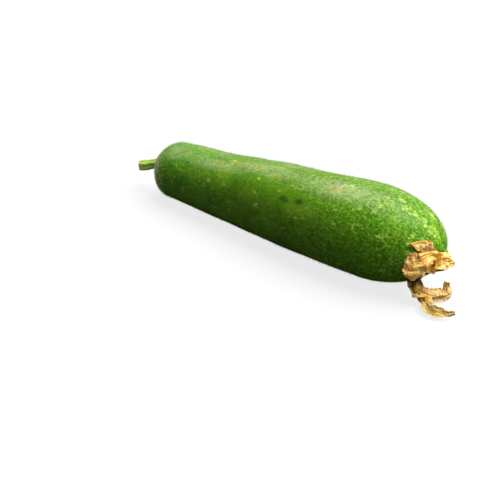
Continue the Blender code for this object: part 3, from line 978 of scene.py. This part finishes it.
@dataclass
class Stalk:
    """The cut stalk: a ridged stub that flares onto the fruit's shoulder and droops a little."""

    fruit: Fruit
    path: tuple[Point, ...] = (
        (0, 0, 0), (-6.5, -0.1, 0), (-13, -1.5, -1), (-19, -4.2, -2.7), (-25, -7.5, -4),
    )
    radii: tuple[float, ...] = (7.6, 5.9, 4.7, 4.1, 4.1, 4.5, 4.2)
    ridges: int = 5
    ridge_height: float = 0.4 * MM
    rib_height: float = 0.12 * MM
    ribs: int = 20
    rough: float = 0.16 * MM
    cut_hollow: float = 0.8 * MM
    cut_rag: float = 0.15 * MM
    rim_rag: float = 0.25 * MM
    rim: float = 0.82
    rings: int = 110
    cut_rings: int = 14
    sides: int = 120
    sink: float = 0.9 * MM

    def build(self) -> Object:
        """Makes the stalk with its cut end.

        Returns:
            The stalk.
        """
        share = np.linspace(0, 1, self.rings + 1)
        angle = np.linspace(0, 2 * pi, self.sides, endpoint=False)
        places = rod_places(share, angle, radius=3, length=5)
        ridge = np.cos(self.ridges * angle) + 0 * places[..., 0]
        rib = np.cos(self.ribs * angle + 1.5 * rumple(places, 1.6, 2.2))
        relief = self.ridge_height * ridge + self.rib_height * rib + self.rough * rumple(places, 0.5, 6.1, 3)
        radius = smooth_through(np.array(self.radii) * MM, share)[:, None]
        points, across, square = bent_directions(np.array(self.path) * MM, share)
        wall = points[:, None] + (radius + relief)[..., None] * ways_out(angle, across, square)

        inward = np.linspace(1, 0.03, self.cut_rings + 1)[1:]
        ahead = unit(np.cross(across[-1], square[-1]))
        rim = wall[-1] - points[-1]
        dish = -self.cut_hollow * eased(1 - inward, 1 - self.rim, 0.75) + self.cut_rag * np.sin(14 * inward)
        rag = self.rim_rag * rumple(places[-1] * 2, 1.0, 9.4, 2)
        rise = dish[:, None] + inward[:, None] * rag
        cut = points[-1] + inward[:, None, None] * rim + rise[..., None] * ahead
        wall[-1] += rag[:, None] * ahead
        rings = np.vstack([wall, cut])
        seat = self.fruit.middle(np.array(self.fruit.stalk_seat))
        sunk = self.sink * (1 - eased(self.along(rings), 0, 0.3))
        mesh = closed_tube("stalk_bark", rings + seat + sunk * [1, 0, 0])

        # How high each point stands on the ridges, from which the bark's painted light and shade are read.
        height = np.vstack([0.5 + 0.5 * (0.7 * ridge + 0.3 * rib), np.full_like(cut[..., 0], 0.5)])
        near_cut = np.vstack([eased(share, 0.82, 0.97)[:, None] + 0 * ridge, np.ones_like(cut[..., 0])])
        inside = np.vstack([0 * ridge, eased(1 - inward, 0.1, 0.3)[:, None] + 0 * cut[..., 0]])
        form = np.stack([height, near_cut, inside], axis=-1).reshape(-1, 3)
        store(mesh, "form", np.vstack([form, [[0.5, 0, 0], [0.5, 1, 1]]]))
        hairiness = 1 - near_cut
        store(mesh, "hairiness", np.append(hairiness.ravel(), [0, 0]))
        stalk = piece("stalk_bark", mesh, StalkFinish().material())
        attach(stalk, "root")
        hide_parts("stalk")
        report(stalk)
        return stalk

    def along(self, rings: Array) -> Array:
        """How far along the stalk each point lies, from 0 to about 1, as a column."""
        return np.clip(rings[..., :1] / (self.path[-1][0] * MM), 0, 1)


@dataclass(frozen=True)
class Crease:
    """Sharp creases in a petal: how they are stretched along it, how far apart they lie in
    millimetres, the noise's shift, how high they stand in millimetres and how much painted highlight they
    add."""

    stretch: float
    wave: float
    shift: float
    lift: float
    light: float


CREASES = (
    Crease(0.45, 5, 2.9, 0.6, 0.24),
    Crease(1, 2.8, 5.1, 0.36, 0.18),
    Crease(0.25, 1.2, 7.3, 0.12, 0.14),
)


@dataclass(frozen=True)
class Petal:
    """A withered petal, given by ribs across it from the cup to the tip.

    A rib is (x, y, z, left, right) in millimetres: its middle point, from the middle of the
    flower's seat, and how far the petal reaches to either side of it. The petal's face points
    about the way that faces says. Its sides curl by roll, in radians, and its pleats and its
    crinkle are as deep as they say, in millimetres. Slant turns the pleats and veins askew, and
    crumple is how strong the fine creases are.
    """

    name: str
    ribs: tuple[tuple[float, float, float, float, float], ...]
    faces: tuple[float, float, float]
    roll: float
    pleats: float
    pleat_depth: float
    crinkle: float
    slant: float = 0.0
    crumple: float = 1.0
    rows: int = 190
    columns: int = 90

    @property
    def reach(self) -> float:
        """The petal's length in millimetres, from rib to rib."""
        middles = np.array(self.ribs)[:, :3]
        return float(np.sum(np.linalg.norm(np.diff(middles, axis=0), axis=-1)))


PETALS = (
    Petal(
        "upper",
        (
            (3.5, -5, -7.5, 2.5, 2.5),
            (2.5, -12, -1.5, 3.6, 4.2),
            (1, -16.5, 2, 5, 5.2),
            (-1.5, -21, 2, 5.9, 6.2),
            (-4.5, -24.5, -0.5, 8.5, 8.7),
            (-8, -27, -3, 9.6, 9.5),
            (-11.5, -28.5, -4, 9.3, 9.2),
            (-14.5, -29.5, -4, 7.5, 7.5),
        ),
        faces=(0.5, -0.7, 0.5), roll=-0.6, pleats=2.5, pleat_depth=0.8, crinkle=2.2,
        slant=0.8,
    ),
    Petal(
        "crest",
        (
            (2, -7, -4, 2.2, 2.2),
            (-0.5, -12.5, 1, 3, 3),
            (-3, -17, 6, 4.2, 4.2),
            (-4, -18, 8.5, 4.2, 4),
            (-4, -18, 9.4, 4.6, 3.3),
            (-4.5, -18, 10, 8.5, 3.6),
            (-5, -17.4, 10.8, 12.5, 4.3),
            (-5.4, -17, 11.6, 8, 3.5),
            (-6, -16.2, 12.2, 3, 2.5),
        ),
        faces=(0.5, -0.75, 0.4), roll=0.2, pleats=1.5, pleat_depth=0.4, crinkle=0.8,
        crumple=0.6,
    ),
    Petal(
        "fold",
        (
            (2, -11.5, 1.5, 2.5, 3),
            (4.5, -10, 1.5, 2.7, 3),
            (6, -7, 1, 2.8, 3),
            (7.5, -4.5, -1, 1.5, 2),
        ),
        faces=(0.6, -0.6, 0.5), roll=0.3, pleats=1, pleat_depth=0.3, crinkle=0.6,
        crumple=0.5, rows=90, columns=60,
    ),
    Petal(
        "wing",
        (
            (2, -14.5, -0.5, 5, 5.5),
            (5, -14, 0, 5.2, 6.3),
            (7, -11, -0.5, 3.4, 5.8),
            (8.5, -7, -2, 1.4, 4.8),
            (9, -3.5, -3.5, 0.8, 1.8),
        ),
        faces=(0.7, -0.55, 0.45), roll=0.3, pleats=3, pleat_depth=0.8, crinkle=0.8,
        slant=1.3, crumple=0.7,
    ),
    Petal(
        "lower",
        (
            (4, -4.5, -10, 2, 2),
            (-2.5, -12.5, -10, 3, 3),
            (-7, -17.5, -12, 3.8, 3.8),
            (-10.5, -20, -16, 4.6, 4.6),
            (-10, -19, -21.5, 5.6, 5.6),
            (-7, -20.5, -25, 5.2, 5),
            (-3, -17, -28.5, 5.4, 5),
            (-0.5, -12, -31, 6.1, 5.5),
            (3.5, -6, -32, 6, 5.2),
            (6.5, -2.5, -30.5, 3.6, 4.3),
            (5.5, -1, -27, 3, 3),
            (5.5, -1, -22.5, 2.6, 2.6),
        ),
        faces=(0.55, -0.6, 0.6), roll=-0.5, pleats=1.5, pleat_depth=0.8, crinkle=1.5,
        rows=280, columns=70,
    ),
    Petal(
        "lowest",
        (
            (-9, -18.5, -14, 2.5, 2.5),
            (-11, -15, -23.5, 3, 3),
            (-8, -15.5, -31.5, 3.2, 3.2),
            (-1.5, -19, -33.5, 3.2, 3.2),
            (5, -25.5, -33, 3.8, 3.8),
            (10.5, -27, -32.5, 4.6, 4.3),
            (15.5, -25, -32.5, 4.1, 4),
            (20, -23.5, -32.5, 2.4, 1.9),
            (24, -21, -31, 2.8, 2.3),
        ),
        faces=(0.4, -0.6, 0.7), roll=0.9, pleats=1.0, pleat_depth=0.4, crinkle=1.0,
        crumple=0.7, rows=240, columns=50,
    ),
    Petal(
        "torn",
        (
            (3.5, -4.5, -8.5, 2, 2),
            (1.5, -12.5, -6.5, 3, 3),
            (-0.5, -16, -7, 4, 3.8),
            (-2.5, -18, -8, 3, 3.2),
        ),
        faces=(0.6, -0.7, 0.3), roll=0.5, pleats=2, pleat_depth=0.5, crinkle=1.2,
        rows=90, columns=60,
    ),
    Petal(
        "curl",
        (
            (-1.5, -16.2, -29, 0.7, 0.7),
            (-4.5, -21.5, -27.5, 1.9, 1.9),
            (-6.5, -23.5, -28, 1.6, 1.6),
            (-8.5, -24.5, -29, 0.7, 0.7),
        ),
        faces=(0.5, -0.6, 0.6), roll=0.5, pleats=1.0, pleat_depth=0.2, crinkle=0.6,
        crumple=0.5, rows=60, columns=40,
    ),
    Petal(
        "flap",
        (
            (-0.8, -15.8, -28.8, 0.8, 0.8),
            (0.6, -16.8, -31, 2.6, 2.6),
            (2.4, -17, -32.5, 1.8, 1.8),
            (4.4, -18, -33.5, 0.7, 0.7),
        ),
        faces=(0.5, -0.6, 0.6), roll=-0.5, pleats=1.0, pleat_depth=0.2, crinkle=0.6,
        crumple=0.5, rows=60, columns=40,
    ),
)


@dataclass
class Flower:
    """The withered flower on the blossom end.

    It is a bent cup with five limp petals, the turned-over fold of one of them, three torn scraps
    and five small sepals. Lengths without MM are in millimetres.
    """

    fruit: Fruit
    gap: float = 0.45 * MM
    cup_path: tuple[Point, ...] = (
        (0, 0, 0), (1.8, -0.4, -0.8), (3, -2.2, -3.8), (3.8, -4.2, -7.4), (4.1, -5.8, -10.4),
    )
    cup_radii: tuple[float, ...] = (1.9, 1.8, 2.0, 2.6, 3.0, 2.4)
    cup_ridge: float = 0.3 * MM
    cup_wrinkle: float = 0.18 * MM
    cup_mouth: float = 0.8
    cup_rings: int = 70
    cup_sides: int = 80
    tip_rounding: float = 0.16
    tip_share: float = 0.45
    ragged_tip: float = 0.9
    rags_across: float = 2.5
    nick_width: float = 3.5
    nick_depth: float = 0.17
    crinkles_along: float = 6
    crinkles_across: float = 2.2
    bend: float = 2.5
    bend_width: float = 7
    crease_sharpness: float = 2.6
    crease_sink: float = 0.45
    veins: int = 5
    vein_wander: float = 0.8
    vein_width: float = 0.16
    vein_lift: float = 0.08
    # The painted light of the petals' folds: an even share, and how much their crinkle adds.
    even_light: float = 0.36
    crinkle_light: float = 0.12
    thickness: float = 0.24 * MM
    sepal_count: int = 5
    sepal_turn: float = 0.8
    sepal_length: float = 3.4
    sepal_half_width: float = 1.6
    sepal_ribs: tuple[Point, ...] = ((0.3, 0.1, 0.8), (0.6, 0, 1), (0.85, -0.3, 0.8), (0.9, -0.8, 0.3))
    ground_clearance: float = 1.1 * MM
    fruit_clearance: float = 2 * MM
    softness: float = 1 * MM
    crumpled_clearance: float = 0.5 * MM
    crumpled_softness: float = 0.3 * MM

    @property
    def seat(self) -> Array:
        """The middle of the flower's seat on the fruit."""
        station = np.array(self.fruit.length - self.fruit.flower_seat)
        return self.fruit.middle(station) + np.array([self.gap, 0, 0])

    def clear_of_fruit(
        self, points: Array, fruit_gap: float, ground_gap: float, softness: float
    ) -> Array:
        """Pushes points softly away from the fruit's surface and up from the ground.

        Args:
            points: The points.
            fruit_gap: How far from the fruit they stay.
            ground_gap: How far above the ground they stay.
            softness: Over what distance the push grows.

        Returns:
            The moved points.
        """

        def push_out(distance: Array) -> Array:
            """How far to push what lies this far beyond a limit: none well outside, all inside."""
            return 0.5 * (np.sqrt(distance**2 + softness**2) - distance)

        station = points[..., 0] + self.fruit.length / 2
        middle = self.fruit.middle(np.minimum(station, self.fruit.length))
        radial = points - middle
        radial[..., 0] = 0
        radius = self.fruit.full_radius(np.minimum(station, self.fruit.length))
        rounding = self.fruit.blossom_rounding
        past = np.maximum(station - self.fruit.length + rounding, 0)
        size = np.hypot(np.linalg.norm(radial, axis=-1) / radius, past / rounding)
        slope = radial / radius[..., None] ** 2
        slope[..., 0] = past / rounding**2
        distance = (size - 1) * size / np.linalg.norm(slope, axis=-1)
        points = points + unit(slope) * push_out(distance - fruit_gap)[..., None]
        points[..., 2] += push_out(points[..., 2] - ground_gap)
        return points

    def sheet(self, petal: Petal) -> tuple[Array, Array, Array, Array]:
        """The middle surface of one petal, before its fine crumples.

        Args:
            petal: The petal.

        Returns:
            The points, by row from the cup to the tip and by column across, each point's share
            along and across the petal, and its folds' height.
        """
        along, across = np.meshgrid(
            np.linspace(0, 1, petal.rows + 1), np.linspace(-1, 1, petal.columns + 1), indexing="ij"
        )
        ribs = np.array(petal.ribs) * MM
        zero = np.zeros_like(along)
        tip_x = zero + petal.ribs[-1][0]
        rags = rumple(np.stack([across * self.rags_across, zero + 7, zero + 3], axis=-1), 1.0)
        reach = along - self.ragged_tip / petal.reach * along**4 * (0.5 + rags)
        rib = smooth_through(ribs, reach)
        step = 0.02
        low = np.clip(reach - step, 0, 1 - 2 * step)
        ahead = unit(smooth_through(ribs, low + 2 * step)[..., :3] - smooth_through(ribs, low)[..., :3])
        right = unit(np.cross(ahead, unit(np.array(petal.faces))))
        face = np.cross(right, ahead)
        half_width = np.where(across > 0, rib[..., 4], rib[..., 3])
        t = np.clip((along - 1 + self.tip_rounding) / self.tip_rounding, 0, 1)
        half_width = half_width * (self.tip_share + (1 - self.tip_share) * np.sqrt(1 - t**2))
        edge = np.stack([along * petal.reach / self.nick_width, np.sign(across) * 3, tip_x], axis=-1)
        nicks = self.nick_depth * rumple(edge, 1.0, 0.4, 2)
        half_width = half_width * (1 + nicks * np.abs(across) ** 3)
        turn = petal.roll * across
        folds = petal.pleat_depth * MM * along * np.cos(petal.pleats * pi * (across + petal.slant * along))
        waves = [along * self.crinkles_along, across * self.crinkles_across, tip_x]
        crinkle = rumple(np.stack(waves, axis=-1), 1.0)
        outwards = half_width * (1 - np.cos(turn)) / petal.roll + folds
        outwards = outwards + petal.crinkle * MM * np.minimum(1, 2 * along) * crinkle
        sideways = half_width * np.sin(turn) / petal.roll
        points = self.seat + rib[..., :3] + right * sideways[..., None] + face * outwards[..., None]
        points = self.clear_of_fruit(points, self.fruit_clearance, self.ground_clearance, self.softness)
        return points, along, across, crinkle

    def crumpled(self, petal: Petal) -> tuple[Array, Array, Array]:
        """The petal's surface with its fine crumples, wrinkles and veins.

        Args:
            petal: The petal.

        Returns:
            The points, for each its share along, its share across and how light its folds are painted,
            and how near it is to a vein.
        """
        points, along, across, crinkle = self.sheet(petal)
        ahead = np.gradient(points, axis=0)
        normal = unit(np.cross(ahead, np.gradient(points, axis=1)))
        spacing = np.linalg.norm(ahead, axis=-1)
        room = eased(spacing / np.median(spacing), 0.1, 0.5)
        reach = np.sum(np.linalg.norm(np.diff(points[:, petal.columns // 2], axis=0), axis=-1)) / MM
        width = 2 * max(max(rib[3:]) for rib in petal.ribs)
        beside = (across + petal.slant * along) * width / 2
        laid = np.stack([along * reach, beside, 0 * along + petal.ribs[-1][0]], axis=-1)
        sway = [rumple(laid, self.bend_width, 1.2), rumple(laid, self.bend_width, 8.8), 0 * along]
        bent = laid + np.stack(sway, axis=-1) * self.bend
        wander = self.vein_wander * rumple(laid, 6, 4.4)
        from_vein = np.abs(np.sin(pi * (self.veins * across + wander)))
        vein = np.exp(-((from_vein / self.vein_width) ** 2))
        lift = self.vein_lift * vein - self.crease_sink
        # How light each point is painted: lighter on the crests of crinkles and creases, as highlight.
        fold = self.even_light + self.crinkle_light * crinkle
        for crease in CREASES:
            pattern = rumple(bent * [crease.stretch, 1, 1], crease.wave, crease.shift)
            height = 1 - self.crease_sharpness * np.abs(pattern)
            lift = lift + crease.lift * height
            fold = fold + crease.light * height
        fade = np.minimum(1, 4 * along)
        points = points + normal * (lift * fade * room * petal.crumple * MM)[..., None]
        gap = self.crumpled_clearance
        points = self.clear_of_fruit(points, gap, gap, self.crumpled_softness)
        return points, np.stack([along, across, np.clip(fold, 0, 1)], axis=-1), vein

    def petal(self, petal: Petal, finish: Material) -> Object:
        """Makes one petal as a thin closed piece.

        Args:
            petal: The petal.
            finish: Its material.

        Returns:
            The piece.
        """
        points, leaf, vein = self.crumpled(petal)
        rows, columns = points.shape[:2]
        index = np.arange(rows * columns).reshape(rows, columns)
        quads = np.stack([index[:-1, :-1], index[1:, :-1], index[1:, 1:], index[:-1, 1:]], axis=-1)
        mesh = bpy.data.meshes.new("petal_" + petal.name)
        mesh.from_pydata(points.reshape(-1, 3).tolist(), [], quads.reshape(-1, 4).tolist())
        store(mesh, "leaf", leaf.reshape(-1, 3))
        store(mesh, "vein", vein.ravel())
        thing = piece("petal_" + petal.name, mesh, finish)
        wall = thing.modifiers.new("Thickness", "SOLIDIFY")
        wall.thickness = self.thickness
        wall.offset = 0
        work_in_modifiers(thing)
        thing.data.shade_smooth()
        return self.settle(thing)

    def settle(self, thing: Object) -> Object:
        """Fastens a finished piece of the flower to the model in the flower's place."""
        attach(thing, "root")
        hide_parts("dried_flower")
        report(thing)
        return thing

    def cup(self, finish: Material) -> Object:
        """Makes the cup that the petals grow from.

        Args:
            finish: Its material.

        Returns:
            The piece.
        """
        share = np.linspace(0, 1, self.cup_rings + 1)
        angle = np.linspace(0, 2 * pi, self.cup_sides, endpoint=False)
        places = rod_places(share, angle, radius=2, length=5)
        ridge = np.cos(self.sepal_count * angle) + 0 * places[..., 0]
        wrinkle = 1 - 2 * np.abs(rumple(places * [1, 1, 0.5], 0.5, 3.3, 2))
        relief = self.cup_ridge * ridge + self.cup_wrinkle * wrinkle
        radius = smooth_through(np.array(self.cup_radii) * MM, share)[:, None] + relief
        points, across, square = bent_directions(np.array(self.cup_path) * MM, share)
        rings = points[:, None] + radius[..., None] * ways_out(angle, across, square)
        rings = rings + self.seat - [2 * self.gap, 0, 0]
        mesh = closed_tube("flower_cup", rings)
        # The cup's wrinkles are painted lighter on their crests, as highlight.
        leaf = np.stack([share[:, None] + 0 * ridge, 0.4 * ridge, 0.35 + 0.25 * wrinkle], axis=-1)
        store(mesh, "leaf", np.vstack([leaf.reshape(-1, 3), [[0, 0, 0.3], [1, 0, 0.3]]]))
        store(mesh, "vein", np.zeros(len(mesh.vertices)))
        return self.settle(piece("flower_cup", mesh, finish))

    def sepals(self) -> list[Petal]:
        """The small sepals, shrunken and bent back round the cup's mouth."""
        mouth, across, square = bent_directions(np.array(self.cup_path), np.array([self.cup_mouth]))
        mouth, across, square = mouth[0], across[0], square[0]
        down = np.cross(across, square)
        made = []
        for i in range(self.sepal_count):
            angle = 2 * pi * (i + self.sepal_turn) / self.sepal_count
            out = np.cos(angle) * across + np.sin(angle) * square
            ribs = []
            for out_share, down_share, width in self.sepal_ribs:
                point = mouth + self.sepal_length * (out_share * out + down_share * down)
                half_width = self.sepal_half_width * width
                ribs.append((*point.tolist(), half_width, half_width))
            made.append(
                Petal(
                    f"sepal_{i + 1}", tuple(ribs), faces=tuple(down.tolist()), roll=0.8, pleats=1,
                    pleat_depth=0.1, crinkle=0.8, rows=36, columns=20,
                )
            )
        return made

    def build(self) -> None:
        """Makes the whole flower."""
        cream, brown, umber = paint(246, 212, 144), paint(150, 90, 24), paint(128, 80, 18)
        tan, golden, straw = paint(220, 168, 88), paint(222, 166, 62), paint(226, 184, 104)
        amber, rust, painted_shadow = paint(212, 158, 66), paint(196, 136, 56), paint(58, 40, 2)
        sand, chaff, ivory = paint(236, 198, 132), paint(228, 194, 138), paint(240, 208, 136)
        sets = (
            PetalFinish("upper", paint(218, 156, 74), paint(238, 178, 92), tan, sand, brown),
            PetalFinish("crest", paint(180, 128, 62), paint(208, 160, 80), rust, cream, brown),
            PetalFinish("fold", straw, paint(242, 206, 120), straw, cream, golden, 0.2),
            PetalFinish("wing", golden, paint(220, 170, 90), amber, ivory, brown),
            # The lower petal's dark root is painted shadow under the upper petal.
            PetalFinish(
                "lower", painted_shadow, paint(162, 120, 30), paint(204, 162, 100), chaff, umber,
                root_ends=(0.32, 0.44), tip_starts=(0.47, 0.6),
            ),
            PetalFinish(
                "lowest", paint(156, 116, 24), paint(170, 142, 74), paint(172, 138, 84),
                paint(200, 180, 122), umber, 0.25,
            ),
            PetalFinish("torn", paint(190, 134, 30), golden, straw, paint(250, 216, 120), umber),
            PetalFinish("curl", golden, straw, paint(176, 130, 40), cream, umber),
            PetalFinish("flap", tan, tan, brown, cream, umber),
            PetalFinish(
                "cup", paint(84, 124, 30), paint(134, 98, 40), tan, paint(180, 142, 78),
                paint(72, 50, 18),
            ),
        )
        finishes = {each.name: each.material() for each in sets}
        self.cup(finishes["cup"])
        for petal in PETALS:
            self.petal(petal, finishes[petal.name])
        for sepal in self.sepals():
            self.petal(sepal, finishes["cup"])


@dataclass
class Studio:
    """A plain pale floor, soft light from above and the camera."""

    floor_size: float = 8.0
    floor_tone: Colour = (0.16, 0.16, 0.16, 1.0)
    bounce_tone: Colour = (0.07, 0.07, 0.07, 1.0)
    floor_glow: float = 0.45
    glow_strength: float = 1.76
    key_strength: float = 8.4
    key_spread: float = 60.0
    key_height: float = 64.0
    key_turn: float = 130.0
    sky_strength: float = 0.3
    backdrop_strength: float = 1.0
    camera_place: tuple[float, float, float] = (0.39852, -0.50146, 0.33088)
    camera_turn: float = 40.96
    camera_dip: float = 28.0
    lens: float = 64.8

    def build(self) -> None:
        """Makes the floor, the lights and the camera."""
        self.floor()
        self.light()
        self.camera()
        bpy.context.scene.view_settings.view_transform = "Standard"

    def floor(self) -> None:
        """Makes the floor, level with the flat of the gourd's belly."""
        work = bmesh.new()
        bmesh.ops.create_grid(work, x_segments=1, y_segments=1, size=self.floor_size)
        mesh = bpy.data.meshes.new("floor")
        work.to_mesh(mesh)
        work.free()
        g = Shading("floor")
        g.shader.inputs["Roughness"].default_value = 0.9
        g.shader.inputs["Specular IOR Level"].default_value = 0.1
        seen = g.add("ShaderNodeLightPath").outputs["Is Camera Ray"]
        g.tree.links.new(g.mix(seen, self.bounce_tone, self.floor_tone), g.shader.inputs["Base Color"])
        glow = g.add("ShaderNodeEmission", {"Strength": self.glow_strength})
        share = g.math("MULTIPLY", seen, self.floor_glow)
        inputs = {0: share, 1: g.shader.outputs[0], 2: glow.outputs[0]}
        both = g.add("ShaderNodeMixShader", inputs)
        g.tree.links.new(both.outputs[0], g.tree.nodes["Material Output"].inputs["Surface"])
        piece("floor", mesh, g.material)

    def light(self) -> None:
        """Makes a broad soft light from above and a pale sky all round."""
        sun = bpy.data.lights.new("key", "SUN")
        sun.energy = self.key_strength
        sun.angle = radians(self.key_spread)
        self.aim("key", sun, self.key_turn, self.key_height)
        world = bpy.data.worlds.new("sky")
        world.use_nodes = True
        g = Graph(world.node_tree)
        seen = g.add("ShaderNodeLightPath").outputs["Is Camera Ray"]
        inputs = {"Value": seen, "To Min": self.sky_strength, "To Max": self.backdrop_strength}
        strength = g.add("ShaderNodeMapRange", inputs).outputs["Result"]
        background = world.node_tree.nodes["Background"]
        background.inputs["Color"].default_value = (1, 1, 1, 1)
        world.node_tree.links.new(strength, background.inputs["Strength"])
        bpy.context.scene.world = world

    def camera(self) -> None:
        """Makes the camera at the picture's viewing angle."""
        lens = bpy.data.cameras.new("camera")
        lens.lens = self.lens
        lens.sensor_width = 36
        lens.clip_start = 10 * MM
        camera = self.aim("camera", lens, self.camera_turn, self.camera_dip)
        camera.location = self.camera_place
        bpy.context.scene.camera = camera

    def aim(self, name: str, source: bpy.types.ID, turn: float, height: float) -> Object:
        """Puts a lamp or a camera into the scene, pointing down at the gourd.

        Args:
            name: Its name.
            source: The lamp's or the camera's own data.
            turn: From how far round, in degrees, 0 being the gourd's side.
            height: From how far up, in degrees.

        Returns:
            The lamp or camera.
        """
        turn, height = radians(turn), radians(height)
        back = Vector((np.sin(turn) * np.cos(height), -np.cos(turn) * np.cos(height), np.sin(height)))
        thing = bpy.data.objects.new(name, source)
        thing.rotation_euler = back.to_track_quat("Z", "Y").to_euler()
        bpy.context.scene.collection.objects.link(thing)
        return thing


def main() -> None:
    """Builds the gourd's looks and the studio."""
    logging.basicConfig(level=logging.INFO, format="%(name)s %(message)s")
    LOG.info("solids to dress: %s", ", ".join(sorted(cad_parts)))
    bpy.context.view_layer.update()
    Studio().build()
    fruit = Fruit()
    skin = fruit.build()
    hairs = Coat(density=1.1e6, length=1.6 * MM, thickness=0.03 * MM)
    hairs.grow(skin, "skin_hairs")
    bristles = Coat(density=7e4, length=2.4 * MM, thickness=0.07 * MM, lean=0.6, spread=0.9)
    bristles.grow(skin, "skin_bristles")
    down = Coat(1.2e7, 1.7 * MM, 0.036 * MM, lean=0, spread=0.3, grows_by="shoulder")
    down.grow(skin, "shoulder_down")
    stalk = Stalk(fruit).build()
    fuzz = Coat(density=3e6, length=0.8 * MM, thickness=0.03 * MM, lean=-0.2)
    fuzz.grow(stalk, "stalk_hairs")
    Flower(fruit).build()


if __name__ == "__main__":
    main()
